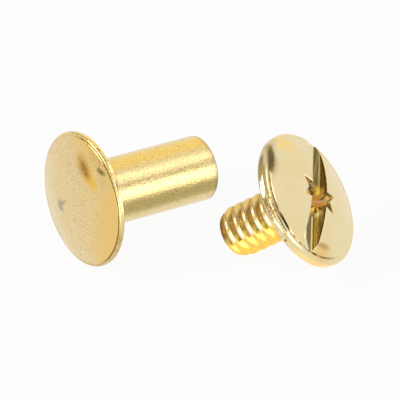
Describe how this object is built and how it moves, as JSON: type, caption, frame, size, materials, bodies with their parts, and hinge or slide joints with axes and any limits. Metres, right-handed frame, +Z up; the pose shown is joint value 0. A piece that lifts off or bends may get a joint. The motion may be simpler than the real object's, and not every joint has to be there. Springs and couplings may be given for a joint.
{
  "type": "binding barrel screw",
  "caption": "Two-piece brass binding fastener, unscrewed: a domed female barrel with a tapped bore, and a short male screw with a slot and star recess.",
  "frame": {"origin": "middle of the pair's footprint, on the surface that both pieces lie on", "axes": "+Z up from that surface; +X from the barrel's head towards the screw's head, along the pair's longest extent; +Y to the barrel's open end, away from the viewer"},
  "size_m": [0.0272, 0.0222, 0.0124],
  "materials": {
    "barrel_brass": "bright plated brass, lightly pitted and smudged, satin tube",
    "screw_brass": "polished plated brass"
  },
  "bodies": {
    "root": {"barrel": "barrel_brass", "screw": "screw_brass"}
  },
  "joints": []
}
